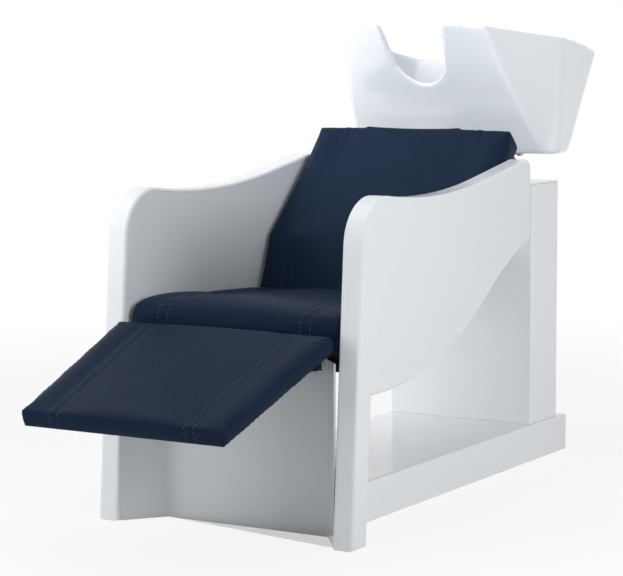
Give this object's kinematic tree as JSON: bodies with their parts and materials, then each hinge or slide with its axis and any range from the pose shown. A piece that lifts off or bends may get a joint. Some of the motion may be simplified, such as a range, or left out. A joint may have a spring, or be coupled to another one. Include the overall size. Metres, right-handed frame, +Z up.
{
  "type": "hair washing bed",
  "caption": "Reclining hair washing seat with moulded arm shells, padded swinging legrest and a tilting basin on a slab column.",
  "frame": {"origin": "on the floor, at the centre of the footprint", "axes": "+Z up, the sitter faces -Y, +X to the sitter's left"},
  "size_m": [0.584, 1.5892, 0.9904],
  "materials": {
    "shell_gloss": "white glossy moulded shell",
    "ceramic": "white glazed ceramic",
    "upholstery": "navy synthetic leather, satin",
    "steel_dark": "black powder coat",
    "zinc": "zinc plated steel",
    "chrome": "polished chrome",
    "plywood": "birch plywood",
    "plastic_dark": "matte black plastic",
    "plastic_grey": "grey pipe plastic"
  },
  "bodies": {
    "frame": {"back_cross_tube": "steel_dark", "back_shell": "shell_gloss", "back_upright_left": "steel_dark", "back_upright_right": "steel_dark", "backrest_board": "plywood", "backrest_cushion": "upholstery", "base_plate": "steel_dark", "board_screws": "zinc", "bridge_beam_left": "steel_dark", "bridge_beam_right": "steel_dark", "bridge_cover": "shell_gloss", "column_cap": "shell_gloss", "column_housing": "shell_gloss", "column_posts": "steel_dark", "column_top_plate": "steel_dark", "friction_washers": "plastic_dark", "front_cross_tube": "steel_dark", "front_panel": "shell_gloss", "front_posts": "steel_dark", "hinge_bracket_left": "steel_dark", "hinge_bracket_right": "steel_dark", "hinge_pins": "zinc", "outrigger_left": "steel_dark", "outrigger_right": "steel_dark", "pipe_plate": "steel_dark", "plinth_cover": "shell_gloss", "rear_access_panel": "shell_gloss", "rear_panel_screws": "zinc", "rear_screw_bars": "steel_dark", "seat_cushion": "upholstery", "seat_pan": "plywood", "seat_rail_left": "steel_dark", "seat_rail_right": "steel_dark", "side_blocks": "plywood", "side_bolts": "zinc", "side_liner_left": "shell_gloss", "side_liner_right": "shell_gloss", "side_shell_left": "shell_gloss", "side_shell_right": "shell_gloss", "tilt_bracket": "steel_dark", "tilt_pins": "zinc", "waste_pipe": "plastic_grey"},
    "legrest": {"legrest_board": "plywood", "legrest_cushion": "upholstery", "legrest_screws": "zinc", "legrest_arm_left": "steel_dark", "legrest_arm_right": "steel_dark"},
    "basin_head": {"basin": "ceramic", "basin_bracket": "steel_dark", "basin_bolts": "zinc", "drain_flange": "chrome", "drain_locknut": "plastic_grey", "drain_tail": "plastic_grey", "tap_body": "chrome", "hose_ferrule": "plastic_dark"},
    "tilt_clamp": {"clamp_lever": "plastic_dark"},
    "mixer_cap": {"tap_cap": "chrome"},
    "mixer_lever": {"tap_lever": "chrome"},
    "hair_strainer": {"drain_strainer": "chrome"}
  },
  "joints": [
    {"name": "legrest_swing", "type": "hinge", "parent": "frame", "child": "legrest", "pos_m": [0, -0.562, 0.338], "axis": [-1, 0, 0], "range_deg": [-68, 22]},
    {"name": "basin_tilt", "type": "hinge", "parent": "frame", "child": "basin_head", "pos_m": [0, 0.49, 0.668], "axis": [1, 0, 0], "range_deg": [-10, 5]},
    {"name": "tilt_clamp_turn", "type": "hinge", "parent": "frame", "child": "tilt_clamp", "pos_m": [-0.106, 0.49, 0.668], "axis": [1, 0, 0], "range_deg": [0, 30]},
    {"name": "mixer_turn", "type": "hinge", "parent": "basin_head", "child": "mixer_cap", "pos_m": [0.165, 0.58, 0.931], "axis": [0, 0, 1], "range_deg": [-40, 40]},
    {"name": "mixer_lift", "type": "hinge", "parent": "mixer_cap", "child": "mixer_lever", "pos_m": [0.165, 0.58, 0.9325], "axis": [0, 1, 0], "range_deg": [0, 25]},
    {"name": "strainer_lift", "type": "slide", "parent": "basin_head", "child": "hair_strainer", "axis": [0, 0, 1], "range_m": [0, 0.04]}
  ]
}
